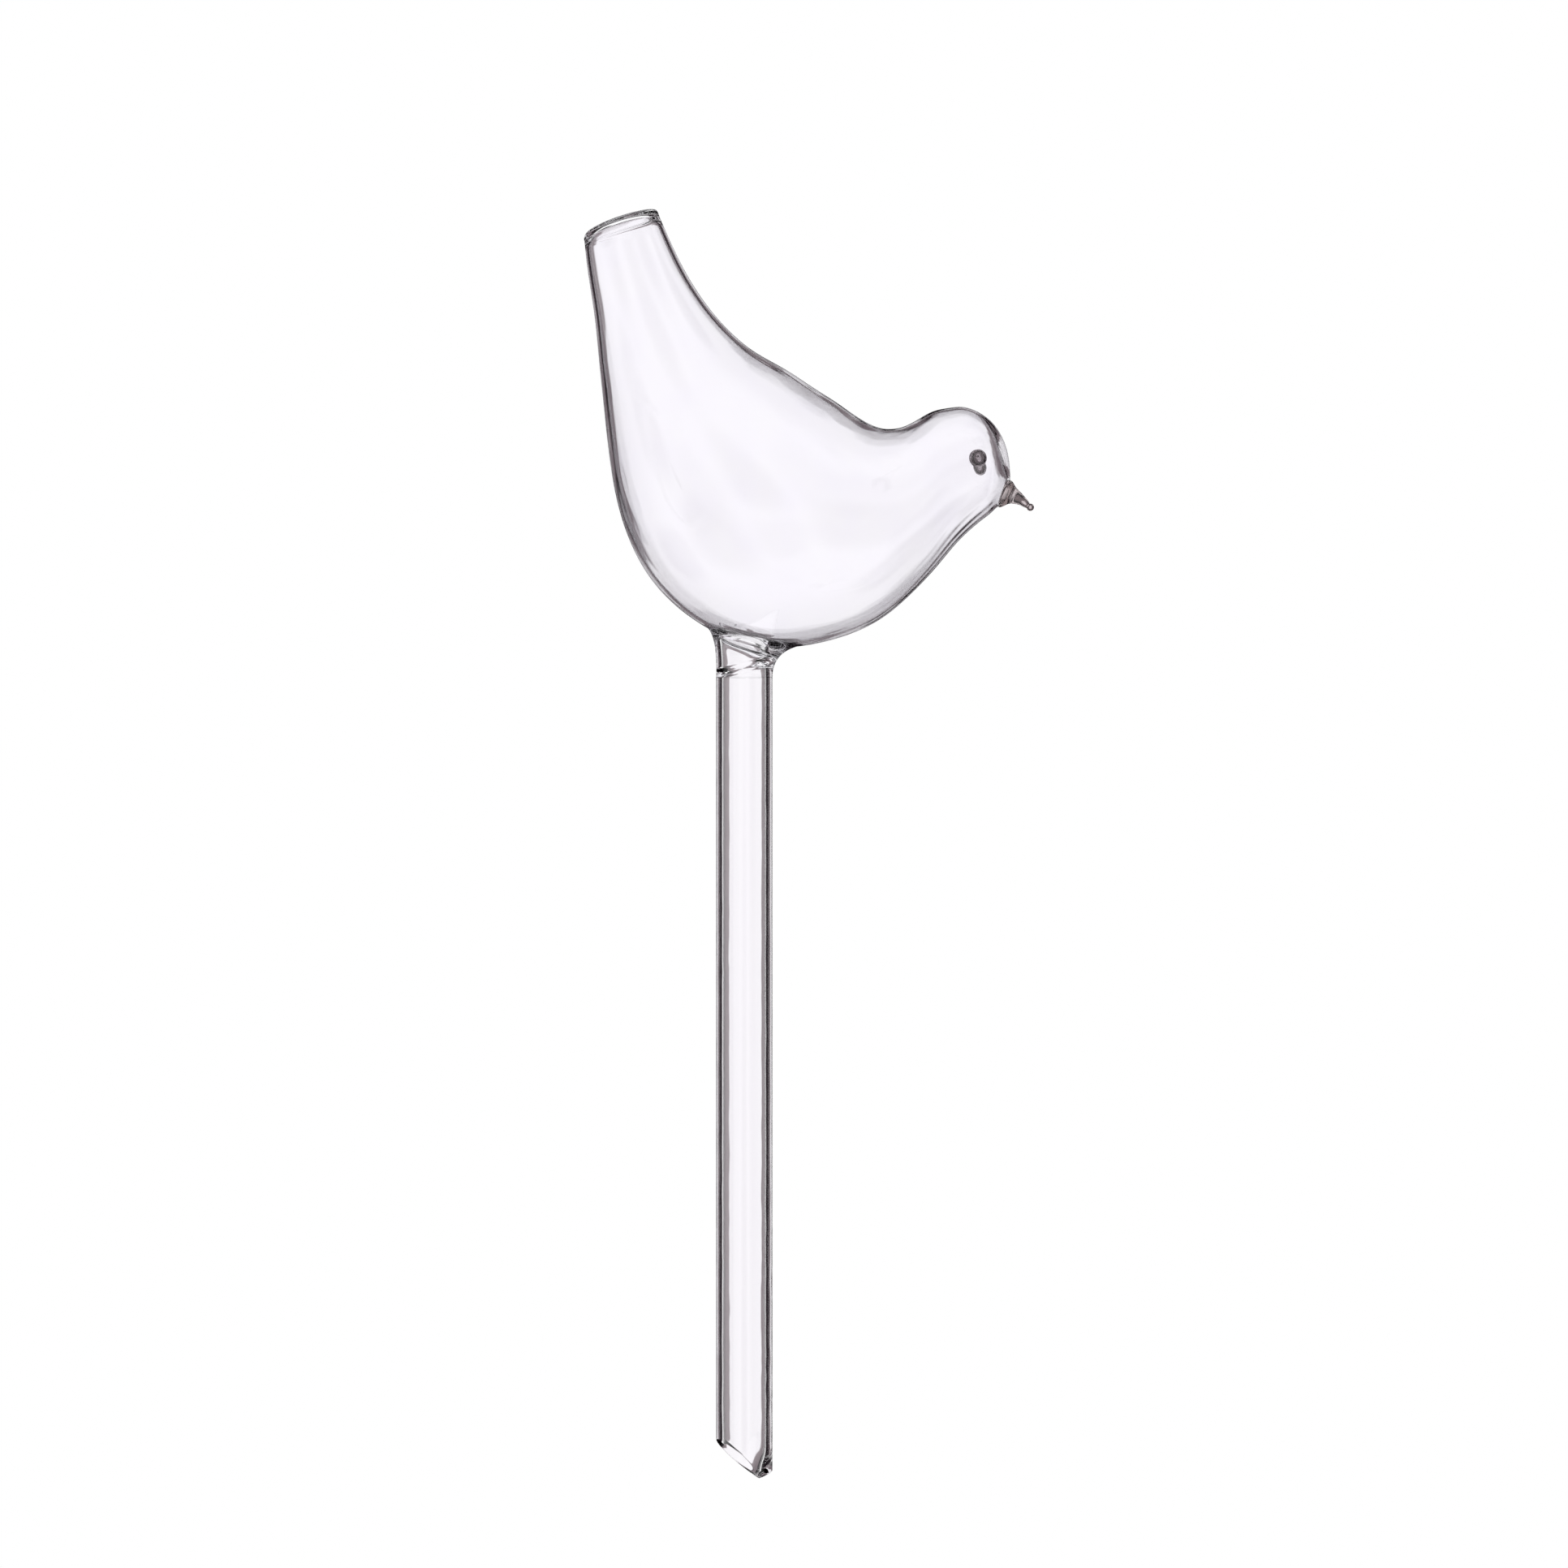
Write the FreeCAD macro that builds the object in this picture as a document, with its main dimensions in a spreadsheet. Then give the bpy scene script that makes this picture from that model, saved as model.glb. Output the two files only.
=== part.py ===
"""Bird-shaped watering globe of lampworked clear glass, in millimetres.

A blown bird holds the water. A straight tube is fused under its belly and ends in a slanted cut that is
pushed into the soil. The tail is closed, so the water leaves through the tube only as the soil draws it.
The beak, the eyes, the tail's closing disc and the flared weld are glass worked on in the flame.

+X points from the tail to the beak, +Y to the bird's left and +Z up. The origin is on the tube's axis, at the
height where the slanted cut begins.
"""

import FreeCAD, Part
import Sketcher
import math
import os

# Driving dimensions, which the sheet holds.
SIZES = {
    "tube_od": 12.0,
    "tube_wall": 1.4,
    "tube_length": 162.6,
    "bevel_angle": 38.0,
    "tip_angle": 20.0,
    "rim_round": 0.6,
    "weld_height": 6.4,
    "weld_spread": 24.0,
    "weld_overrun": 12.0,
    "body_length": 91.3,
    "body_height": 93.6,
    "body_wall": 1.2,
    "cap_thickness": 2.0,
    "cap_round": 1.4,
    "beak_reach": 5.5,
    "beak_drop": 2.9,
    "beak_tip_od": 1.6,
    "eye_width": 3.8,
    "eye_height": 3.8,
    "eye_stand": 1.9,
    "eye_lift_angle": 3.0,
    "cut_overrun": 1.0,
}

# The tube meets the belly at this share of the body's length from its rearmost point.
SEAT_SHARE = 0.379
# The melted edge of the tail's disc takes at most this share of its thickness.
MELT_LIMIT_SHARE = 0.9
# The slanted cut falls across this share of the tube's diameter. From there it turns up to the blunt front.
TIP_SHARE = 0.8

# Round sections of the blown body, from the tail's end to the root of the beak. Each is set by its two ends in
# the side view: belly x, belly z, back x and back z, as shares of the body's length and height from its rearmost
# and lowest points. The last value is the wall there, as a share of the named wall.
BODY_SECTION_SHARES = [
    (0.004, 0.928, 0.180, 0.983, 0.9),
    (0.011, 0.865, 0.211, 0.915, 1.0),
    (0.027, 0.763, 0.256, 0.832, 1.0),
    (0.038, 0.662, 0.317, 0.750, 1.0),
    (0.049, 0.560, 0.394, 0.680, 1.0),
    (0.063, 0.440, 0.470, 0.636, 1.0),
    (0.089, 0.307, 0.536, 0.594, 1.0),
    (0.150, 0.172, 0.593, 0.558, 1.0),
    (0.252, 0.070, 0.643, 0.524, 1.0),
    (0.404, 0.004, 0.684, 0.502, 1.0),
    (0.574, 0.015, 0.722, 0.495, 1.0),
    (0.698, 0.065, 0.760, 0.503, 1.0),
    (0.773, 0.126, 0.792, 0.520, 0.95),
    (0.830, 0.185, 0.825, 0.536, 0.85),
    (0.878, 0.240, 0.863, 0.543, 0.75),
    (0.933, 0.288, 0.919, 0.536, 0.7),
    (0.953, 0.303, 0.965, 0.501, 0.9),
    (0.965, 0.314, 0.992, 0.447, 1.3),
    (0.972, 0.318, 1.000, 0.377, 1.0),
]
# The eyes sit on this section, counted from the tail's end, which is 0.
EYE_SECTION_INDEX = 15

# Sections of the beak past its root: forward, down and radius, as shares of its reach, its drop and its root's
# radius, and the lean of the section in degrees.
BEAK_SECTION_SHARES = [
    (0.26, 0.12, 0.70, 65.5),
    (0.50, 0.32, 0.47, 60.0),
    (0.72, 0.58, 0.32, 56.0),
    (0.90, 0.85, 0.25, 56.0),
]

# Sections of the weld above the tube's end: rear, rear height, front and front height. Rear and front are shares
# of the spread and the heights are shares of the weld's height.
WELD_SECTION_SHARES = [
    (-0.242, 0.50, 0.283, 0.30),
    (-0.262, 1.00, 0.350, 0.66),
    (-0.345, 1.50, 0.450, 0.95),
    (-0.440, 1.95, 0.560, 1.25),
]

doc = FreeCAD.newDocument("watering_globe")


def make_sheet():
    """The spreadsheet that every size is bound to."""
    table = doc.addObject("Spreadsheet::Sheet", "Sizes")
    for row, (alias, value) in enumerate(SIZES.items(), start=1):
        table.set(f"A{row}", alias)
        table.set(f"B{row}", str(value))
        table.setAlias(f"B{row}", alias)
    doc.recompute()
    return table


def cell(alias):
    """The expression that reads one size."""
    return f"Sizes.{alias}"


def bind(thing, **expressions):
    """Ties properties of an object to expressions on the sheet."""
    for name, expression in expressions.items():
        thing.setExpression(name, expression)


sheet = make_sheet()


# Round sections in the side view


def side_point(forward, up):
    return FreeCAD.Vector(forward, 0, up)


def body_point(length_share, height_share):
    """A point of the side view, from shares of the body's length and height."""
    low = sheet.tube_length + sheet.weld_height
    forward = sheet.body_length * (length_share - SEAT_SHARE)
    return side_point(forward, low + sheet.body_height * height_share)


class Ring:
    """A round section across the side view's plane: its middle, the way to its back edge and its radius."""

    def __init__(self, middle, to_back, radius):
        self.middle = middle
        self.to_back = to_back
        self.radius = radius

    @classmethod
    def across(cls, belly, back):
        """The ring whose ends in the side view are these two points."""
        return cls((belly + back) / 2, (back - belly).normalize(), (back - belly).Length / 2)

    @classmethod
    def leaning(cls, middle, lean, radius):
        """The ring about a middle, with its back edge at this angle above the way forward."""
        turn = math.radians(lean)
        return cls(middle, side_point(math.cos(turn), math.sin(turn)), radius)

    def inside(self, wall):
        return Ring(self.middle, self.to_back, self.radius - wall)

    def rim(self, turn, reach=1.0):
        """A point of the rim, or one farther out by the reach, at a turn from the back edge."""
        out = self.to_back * math.cos(turn) + LEFT * math.sin(turn)
        return self.middle + out * (self.radius * reach)

    def lean(self):
        return math.degrees(math.atan2(self.to_back.z, self.to_back.x))


LEFT = FreeCAD.Vector(0, 1, 0)
QUARTER = math.pi / 2


def quarter_face(rings, along, start):
    """A quarter of the skin that passes through the rings, exactly round at each of them."""
    columns = []
    weights = []
    for turn, reach, weight in ((0, 1, 1), (QUARTER / 2, math.sqrt(2), math.sqrt(0.5)), (QUARTER, 1, 1)):
        line = Part.BSplineCurve()
        line.interpolate(Points=[ring.rim(start + turn, reach) for ring in rings], Parameters=along)
        columns.append(line.getPoles())
        weights.append([weight] * line.NbPoles)
    face = Part.BSplineSurface()
    face.buildFromPolesMultsKnots(
        columns, [3, 3], line.getMultiplicities(), [0, 1], line.getKnots(), False, False, 2, 3, weights
    )
    return face.toShape()


def end_face(ring):
    """The flat round face that closes a skin at its first or last ring."""
    arcs = []
    for quarter in range(4):
        start = quarter * QUARTER
        points = [ring.rim(start + part * QUARTER) for part in (0, 0.5, 1)]
        arcs.append(Part.Arc(*points).toShape())
    return Part.Face(Part.Wire(arcs))


def blown(name, rings):
    """A solid with one smooth skin through all its rings and a flat face at each end."""
    along = [0.0]
    for last, ring in zip(rings, rings[1:]):
        along.append(along[-1] + (ring.middle - last.middle).Length)
    faces = [quarter_face(rings, along, quarter * QUARTER) for quarter in range(4)]
    shell = Part.Shell(faces + [end_face(rings[0]), end_face(rings[-1])])
    shell.sewShape()
    solid = Part.Solid(shell)
    if solid.Volume < 0:
        solid.reverse()
    thing = doc.addObject("Part::Feature", name)
    thing.Shape = solid
    return thing


def cut(name, base, tool):
    """What is left of the base outside the tool."""
    left = doc.addObject("Part::Cut", name)
    left.Base = base
    left.Tool = tool
    return left


# The blown body


def body_rings():
    rings = []
    for belly_x, belly_z, back_x, back_z, _ in BODY_SECTION_SHARES:
        rings.append(Ring.across(body_point(belly_x, belly_z), body_point(back_x, back_z)))
    return rings


def cavity_rings():
    """The rings of the hollow, which stops one section short of the beak so that the face stays solid."""
    walls = [sheet.body_wall * shares[-1] for shares in BODY_SECTION_SHARES]
    return [ring.inside(wall) for ring, wall in zip(body_rings(), walls)][:-1]


def bore_tool(name, low, high):
    """A cylinder of the tube's bore between two heights."""
    tool = doc.addObject("Part::Cylinder", name)
    bind(
        tool,
        Radius=f"{cell('tube_od')} / 2 - {cell('tube_wall')}",
        Height=f"({high}) - ({low})",
        Placement=f"placement(vector(0; 0; {low}); rotation(0; 0; 0))",
    )
    return tool


def port_top():
    """A height well inside the cavity, above the belly's wall at the port."""
    return f"{cell('tube_length')} + {cell('weld_height')} + {cell('weld_overrun')}"


def bird_body():
    """The blown shell, open at the tail's end and at the port over the tube."""
    shell = cut("blown_shell", blown("body_skin", body_rings()), blown("cavity", cavity_rings()))
    return cut("bird_body", shell, bore_tool("port", cell("tube_length"), port_top()))


def tail_cap():
    """The disc that closes the tail, with its outer edge melted round."""
    end = body_rings()[0]
    disc = doc.addObject("Part::Cylinder", "tail_disc")
    disc.Radius = end.radius
    bind(disc, Height=cell("cap_thickness"))
    disc.Placement = FreeCAD.Placement(end.middle, FreeCAD.Rotation(LEFT, -end.lean()))
    doc.recompute()
    edges = disc.Shape.Edges
    # The face at the base of the disc lies on the shell, so the melted rim is the one farther up.
    rims = [n for n, edge in enumerate(edges, start=1) if len(edge.Vertexes) == 1]
    top = max(rims, key=lambda n: edges[n - 1].CenterOfMass.z)
    melted = min(sheet.cap_round, sheet.cap_thickness * MELT_LIMIT_SHARE)
    rounded = doc.addObject("Part::Fillet", "tail_cap")
    rounded.Base = disc
    rounded.Edges = [(top, melted, melted)]
    return rounded


# The beak and the eyes


def beak():
    """The drawn beak with its ball tip, on the flat root face of the body."""
    root = body_rings()[-1]
    rings = [root]
    for reach, drop, radius, lean in BEAK_SECTION_SHARES:
        middle = root.middle + side_point(sheet.beak_reach * reach, -sheet.beak_drop * drop)
        rings.append(Ring.leaning(middle, lean, root.radius * radius))
    ball = doc.addObject("Part::Sphere", "beak_ball")
    bind(ball, Radius=f"{cell('beak_tip_od')} / 2")
    ball.Placement.Base = root.middle + side_point(sheet.beak_reach, -sheet.beak_drop)
    joined = doc.addObject("Part::Fuse", "beak")
    joined.Base = blown("beak_cone", rings)
    joined.Tool = ball
    return joined


def eye(name, side, head):
    """A bead of glass on one side of the head, with its foot shaped to the head."""
    ring = body_rings()[EYE_SECTION_INDEX]
    lift = math.radians(sheet.eye_lift_angle)
    bead = doc.addObject("Part::Ellipsoid", f"{name}_bead")
    bead.Angle1, bead.Angle2, bead.Angle3 = -90, 90, 360
    bind(
        bead,
        Radius1=f"{cell('eye_height')} / 2",
        Radius2=f"{cell('eye_width')} / 2",
        Radius3=cell("eye_stand"),
    )
    bead.Placement.Base = ring.rim(side * (QUARTER - lift))
    return cut(name, bead, head)


# The weld and the tube


def weld_ring(rear, rear_height, front, front_height):
    """A section of the weld, from shares of its spread and its height."""
    low = sheet.tube_length
    rear_point = side_point(sheet.weld_spread * rear, low + sheet.weld_height * rear_height)
    return Ring.across(rear_point, side_point(sheet.weld_spread * front, low + sheet.weld_height * front_height))


def neck_weld(head):
    """The flared glass between the tube and the belly, with the bore through it."""
    rings = [Ring.leaning(side_point(0, sheet.tube_length), 0, sheet.tube_od / 2)]
    rings += [weld_ring(*shares) for shares in WELD_SECTION_SHARES]
    last = rings[-1]
    rings.append(Ring(last.middle + side_point(0, sheet.weld_overrun), last.to_back, last.radius))
    flare = cut("weld_flare", blown("weld_full", rings), head)
    low = f"{cell('tube_length')} - {cell('cut_overrun')}"
    return cut("neck_weld", flare, bore_tool("weld_bore", low, port_top()))


def side_sketch(body, name):
    """A sketch in the side view's plane of a body."""
    sketch = body.newObject("Sketcher::SketchObject", name)
    plane = next(feature for feature in body.Origin.OriginFeatures if feature.Role == "XZ_Plane")
    sketch.AttachmentSupport = (plane, [""])
    sketch.MapMode = "FlatFace"
    return sketch


def draw_closed(sketch, corners):
    """Lines through the corners. Each corner is given by its two distances as numbers and as expressions."""
    count = len(corners)
    points = [FreeCAD.Vector(x, z, 0) for x, z, _, _ in corners]
    for n in range(count):
        sketch.addGeometry(Part.LineSegment(points[n], points[(n + 1) % count]), False)
    for n in range(count):
        sketch.addConstraint(Sketcher.Constraint("Coincident", n, 2, (n + 1) % count, 1))
    for n, (x, z, x_text, z_text) in enumerate(corners):
        for kind, value, text in (("DistanceX", x, x_text), ("DistanceY", z, z_text)):
            number = sketch.addConstraint(Sketcher.Constraint(kind, -1, 1, n, 1, value))
            sketch.renameConstraint(number, f"corner_{n}_{kind}")
            sketch.setExpression(f"Constraints.corner_{n}_{kind}", text)


def whole_tube(body):
    """The tube before its slanted cut, turned from a section of its wall."""
    outer = sheet.tube_od / 2
    inner = outer - sheet.tube_wall
    tip = -sheet.tube_od * math.tan(math.radians(sheet.bevel_angle))
    top = sheet.tube_length
    outer_text = f"{cell('tube_od')} / 2"
    inner_text = f"{outer_text} - {cell('tube_wall')}"
    tip_text = f"-{cell('tube_od')} * tan({cell('bevel_angle')})"
    top_text = cell("tube_length")
    section = side_sketch(body, "wall_section")
    draw_closed(
        section,
        [
            (inner, tip, inner_text, tip_text),
            (outer, tip, outer_text, tip_text),
            (outer, top, outer_text, top_text),
            (inner, top, inner_text, top_text),
        ],
    )
    turned = body.newObject("PartDesign::Revolution", "tube")
    turned.Profile = section
    turned.ReferenceAxis = (section, ["V_Axis"])
    turned.Angle = 360
    doc.recompute()
    return turned


def slanted_cut(body, tube):
    """The cut that falls from the rear of the tube to its blunt tip and turns up again to the front."""
    slope = math.tan(math.radians(sheet.bevel_angle))
    tip_slope = math.tan(math.radians(sheet.tip_angle))
    past = sheet.tube_od / 2 + sheet.cut_overrun
    rise = sheet.cut_overrun * slope
    under = -sheet.tube_od * slope - rise
    tip = sheet.tube_od * TIP_SHARE - sheet.tube_od / 2
    drop = sheet.tube_od * TIP_SHARE * slope
    front = (past - tip) * tip_slope - drop
    slope_text = f"tan({cell('bevel_angle')})"
    past_text = f"({cell('tube_od')} / 2 + {cell('cut_overrun')})"
    rise_text = f"{cell('cut_overrun')} * {slope_text}"
    under_text = f"-{cell('tube_od')} * {slope_text} - {rise_text}"
    tip_text = f"({cell('tube_od')} * {TIP_SHARE} - {cell('tube_od')} / 2)"
    drop_text = f"{cell('tube_od')} * {TIP_SHARE} * {slope_text}"
    front_text = f"({past_text} - {tip_text}) * tan({cell('tip_angle')}) - {drop_text}"
    below = side_sketch(body, "below_the_slant")
    draw_closed(
        below,
        [
            (-past, rise, f"-{past_text}", rise_text),
            (-past, under, f"-{past_text}", under_text),
            (past, under, past_text, under_text),
            (past, front, past_text, front_text),
            (tip, -drop, tip_text, f"-{drop_text}"),
        ],
    )
    slant = body.newObject("PartDesign::Pocket", "slanted_cut")
    slant.Profile = below
    slant.Type = "ThroughAll"
    slant.Midplane = True
    doc.recompute()
    if not slant.Shape.Volume < tube.Shape.Volume:
        raise RuntimeError("the slanted cut took nothing off the tube")
    return slant


def stem_tube():
    """The tube with its slanted cut, every edge of the cut melted round."""
    body = doc.addObject("PartDesign::Body", "stem_tube")
    slant = slanted_cut(body, whole_tube(body))
    # The edges of the cut are the only ones whose middle is below the height where it begins.
    rims = []
    for number, edge in enumerate(slant.Shape.Edges, start=1):
        if edge.BoundBox.Center.z < 0:
            rims.append(f"Edge{number}")
    melted = body.newObject("PartDesign::Fillet", "melted_rims")
    melted.Base = (slant, rims)
    bind(melted, Radius=cell("rim_round"))
    body.Tip = melted
    return body


def check(things):
    """Stops the build if an object failed or a sub-part is not a sound solid."""
    for thing in doc.Objects:
        if {"Invalid", "Error"} & set(thing.State):
            raise RuntimeError(f"{thing.Name} failed: {thing.State}")
    for label, thing in things.items():
        shape = thing.Shape
        if shape.isNull() or not shape.isValid() or not shape.Solids:
            raise RuntimeError(f"{label} is not a valid solid")


def main():
    head = blown("head_and_belly", body_rings())
    parts = {
        "bird_body": bird_body(),
        "tail_cap": tail_cap(),
        "beak": beak(),
        "right_eye": eye("right_eye", -1, head),
        "left_eye": eye("left_eye", 1, head),
        "neck_weld": neck_weld(head),
        "stem_tube": stem_tube(),
    }
    doc.recompute()
    check(parts)
    os.makedirs("parts", exist_ok=True)
    for label, thing in parts.items():
        thing.Label = label
        thing.Shape.exportStep(f"parts/{label}.step")
        box = thing.Shape.BoundBox
        print(label, len(thing.Shape.Solids), "solid,", round(thing.Shape.Volume, 1), "mm3,", box)


main()
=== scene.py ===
# %% [markdown]
# # A bird-shaped watering globe in clear glass
# The real object is blown and joined in a gas flame: a hollow bird, a straight tube under its belly and a
# few beads and drops of solid glass. This lesson rebuilds each piece over the fixed frame of solids, which
# says where every piece is and how large. Everything is in metres, with +X towards the beak and +Z up along
# the tube.

import math

import bmesh
import bpy
import numpy as np
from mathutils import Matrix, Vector, noise
from mathutils.bvhtree import BVHTree


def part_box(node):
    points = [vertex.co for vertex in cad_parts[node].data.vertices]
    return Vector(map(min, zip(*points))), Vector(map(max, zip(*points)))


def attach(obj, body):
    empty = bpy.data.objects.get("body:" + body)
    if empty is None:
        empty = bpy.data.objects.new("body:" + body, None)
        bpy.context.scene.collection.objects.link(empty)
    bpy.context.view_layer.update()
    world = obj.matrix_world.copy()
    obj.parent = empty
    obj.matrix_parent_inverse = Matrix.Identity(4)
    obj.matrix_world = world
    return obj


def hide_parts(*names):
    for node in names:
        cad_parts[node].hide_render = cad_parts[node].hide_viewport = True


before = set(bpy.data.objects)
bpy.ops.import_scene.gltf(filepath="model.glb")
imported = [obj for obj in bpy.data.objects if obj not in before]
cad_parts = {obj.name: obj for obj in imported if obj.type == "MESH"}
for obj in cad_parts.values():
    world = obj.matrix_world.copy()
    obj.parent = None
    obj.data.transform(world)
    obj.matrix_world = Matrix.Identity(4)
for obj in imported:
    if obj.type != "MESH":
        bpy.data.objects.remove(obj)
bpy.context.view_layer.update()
print("nodes:", sorted(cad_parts))

# %% [markdown]
# ## Sizes
# Glassworkers think in tube sizes and wall thicknesses, so these are written in millimetres and turned to
# metres once. The outline of the bird is a row of round sections, each given by its belly end and its back
# end as shares of the bird's length and height, as it was drawn for the solids.

# %% Driving sizes
MM = 0.001
TUBE_RADIUS = 6.0 * MM
TUBE_WALL = 1.4 * MM
BORE_RADIUS = TUBE_RADIUS - TUBE_WALL
TUBE_TOP = 162.6 * MM
BODY_LENGTH = 91.3 * MM
BODY_HEIGHT = 93.6 * MM
BODY_LOW = TUBE_TOP + 6.4 * MM  # the height from which the shares below are counted
SEAT_SHARE = 0.379  # how far along the bird the tube's axis stands

SECTION_SHARES = [  # along and up at the belly end, then along and up at the back end
    (0.004, 0.928, 0.180, 0.983),
    (0.011, 0.865, 0.211, 0.915),
    (0.027, 0.763, 0.256, 0.832),
    (0.038, 0.662, 0.317, 0.750),
    (0.049, 0.560, 0.394, 0.680),
    (0.063, 0.440, 0.470, 0.636),
    (0.089, 0.307, 0.536, 0.594),
    (0.150, 0.172, 0.593, 0.558),
    (0.252, 0.070, 0.643, 0.524),
    (0.404, 0.004, 0.684, 0.502),
    (0.574, 0.015, 0.722, 0.495),
    (0.698, 0.065, 0.760, 0.503),
    (0.773, 0.126, 0.792, 0.520),
    (0.830, 0.185, 0.825, 0.536),
    (0.878, 0.240, 0.863, 0.543),
    (0.933, 0.288, 0.919, 0.536),
    (0.953, 0.303, 0.965, 0.501),
    (0.965, 0.314, 0.992, 0.447),
    (0.972, 0.318, 1.000, 0.377),
]
print("sections of the bird:", len(SECTION_SHARES))

# %% [markdown]
# ## The camera
# The photograph looks at the side of the bird from about 90 cm. The camera stands a few degrees towards the
# beak, so that the far eye shows beside the near one. One pixel on the tube's axis is 0.173 mm. A camera is
# only a place, a direction and a lens, so these few numbers fix it.


# %% A new object in the scene
def put_in_scene(name, data):
    """Makes an object that carries this data and links it to the scene."""
    thing = bpy.data.objects.new(name, data)
    bpy.context.scene.collection.objects.link(thing)
    return thing


# %% Place the camera
PHOTO_PIXELS = 1932
MM_PER_PIXEL = 0.173
SENSOR_MM = 36.0
LENS_MM = 98.0
CAMERA_TURN = math.radians(4.5)
MIDDLE_OF_VIEW = Vector((8.5 * MM, 0, 139.9 * MM))
FARTHEST_SEEN = 20.0  # m, well past the floor's edge
camera_distance = LENS_MM / SENSOR_MM * PHOTO_PIXELS * MM_PER_PIXEL * MM

camera_data = bpy.data.cameras.new("photo_camera")
camera_data.sensor_width = SENSOR_MM
camera_data.lens = LENS_MM
camera_data.clip_end = FARTHEST_SEEN
camera = put_in_scene("photo_camera", camera_data)
back = Vector((math.sin(CAMERA_TURN), -math.cos(CAMERA_TURN), 0))
camera.location = MIDDLE_OF_VIEW + back * camera_distance
camera.rotation_euler = back.to_track_quat("Z", "Y").to_euler()
bpy.context.scene.camera = camera
print("camera distance in m:", round(camera_distance, 3))

# %% [markdown]
# ## Helpers
# Most pieces are grids of points: rows along the piece and columns around it. Modifiers could round and
# thicken simpler shapes, but a grid lets every point follow the real glass. One helper turns such a grid
# into a mesh, and one draws a smooth line through a few values, as a bent wire goes through pins.


# %% Smooth lines through a few stations
def smooth_through(values, stations, where):
    """The natural cubic spline through rows of values at the stations, read at other places."""
    values, stations = np.asarray(values, float), np.asarray(stations, float)
    gaps = np.diff(stations)
    count = len(stations)
    matrix, right = np.eye(count), np.zeros_like(values)
    for n in range(1, count - 1):
        matrix[n, n - 1 : n + 2] = gaps[n - 1], 2 * (gaps[n - 1] + gaps[n]), gaps[n]
        right[n] = 6 * ((values[n + 1] - values[n]) / gaps[n] - (values[n] - values[n - 1]) / gaps[n - 1])
    bend = np.linalg.solve(matrix, right)
    at = np.clip(np.searchsorted(stations, where) - 1, 0, count - 2)
    gap, after = gaps[at], where - stations[at]
    before = gap - after
    shape = (-1,) + (1,) * (values.ndim - 1)
    gap, after, before = (piece.reshape(shape) for piece in (gap, after, before))
    straight = (values[at] * before + values[at + 1] * after) / gap
    curved = bend[at] * (before**3 / gap - before * gap) + bend[at + 1] * (after**3 / gap - after * gap)
    return straight + curved / 6


quarter_way = smooth_through([0, 1, 0], [0, 1, 2], np.array([0.5]))
print("a smooth line through 0, 1 and 0, a quarter of the way along:", quarter_way)


# %% A mesh from rows of points
GLASS, FUSED_SEAM = 0, 1  # the material slots of a piece


def mesh_from_rows(name, rows, ring=False, fused=()):
    """A piece from rows of points, each row a closed loop. Its ends are closed by fans, or joined as a ring.

    The strips named in fused, each counted from its lower row, lie against another piece of glass."""
    rows = np.asarray(rows)
    count, around = rows.shape[:2]
    points = [tuple(point) for row in rows for point in row]
    faces = []
    for i in range(count if ring else count - 1):
        below, above = i * around, ((i + 1) % count) * around
        for j in range(around):
            k = (j + 1) % around
            faces.append((below + j, below + k, above + k, above + j))
    if not ring:
        for start, flip in ((0, True), ((count - 1) * around, False)):
            points.append(tuple(rows[start // around].mean(axis=0)))
            tip = len(points) - 1
            for j in range(around):
                k = (j + 1) % around
                faces.append((start + k, start + j, tip) if flip else (start + j, start + k, tip))
    mesh = bpy.data.meshes.new(name)
    mesh.from_pydata(points, [], faces)
    for face in mesh.polygons:
        face.material_index = FUSED_SEAM if face.index // around in fused else GLASS
    return finished_piece(name, mesh)


# %% Turning every face outwards
SHARP_ANGLE = math.radians(50)  # edges that turn more than this stay sharp


def finished_piece(name, mesh):
    """Puts a mesh in the scene as a smooth piece whose faces point out of the glass."""
    sheet = bmesh.new()
    sheet.from_mesh(mesh)
    bmesh.ops.recalc_face_normals(sheet, faces=sheet.faces)
    if sheet.calc_volume(signed=True) < 0:
        bmesh.ops.reverse_faces(sheet, faces=sheet.faces)
    sheet.to_mesh(mesh)
    volume = sheet.calc_volume()
    sheet.free()
    mesh.shade_smooth()
    mesh.set_sharp_from_angle(angle=SHARP_ANGLE)
    piece = put_in_scene(name, mesh)
    print(name, "faces:", len(mesh.polygons), "glass mm3:", round(volume / MM**3, 1))
    return piece


# %% A node with its settings and links
def add_node(tree, kind, inputs=(), **settings):
    """Adds a node. Its inputs, in order or by name, are plain values or the sockets that feed them."""
    node = tree.nodes.new(kind)
    for name, value in settings.items():
        setattr(node, name, value)
    pairs = inputs.items() if isinstance(inputs, dict) else enumerate(inputs)
    for key, value in pairs:
        if isinstance(value, bpy.types.NodeSocket):
            tree.links.new(value, node.inputs[key])
        else:
            node.inputs[key].default_value = value
    return node


# %% Colours
WHITE = "#ffffff"
FACTOR, COLOUR_A, COLOUR_B, MIXED = 0, 6, 7, 2  # three inputs and the output of a node that mixes colours


def linear(colour):
    """A linear RGBA colour from an sRGB hex text."""
    parts = [int(colour[i : i + 2], 16) / 255 for i in (1, 3, 5)]
    return tuple(c / 12.92 if c <= 0.04045 else ((c + 0.055) / 1.055) ** 2.4 for c in parts) + (1.0,)


print("a middle grey in linear light:", round(linear("#808080")[0], 3))

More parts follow.
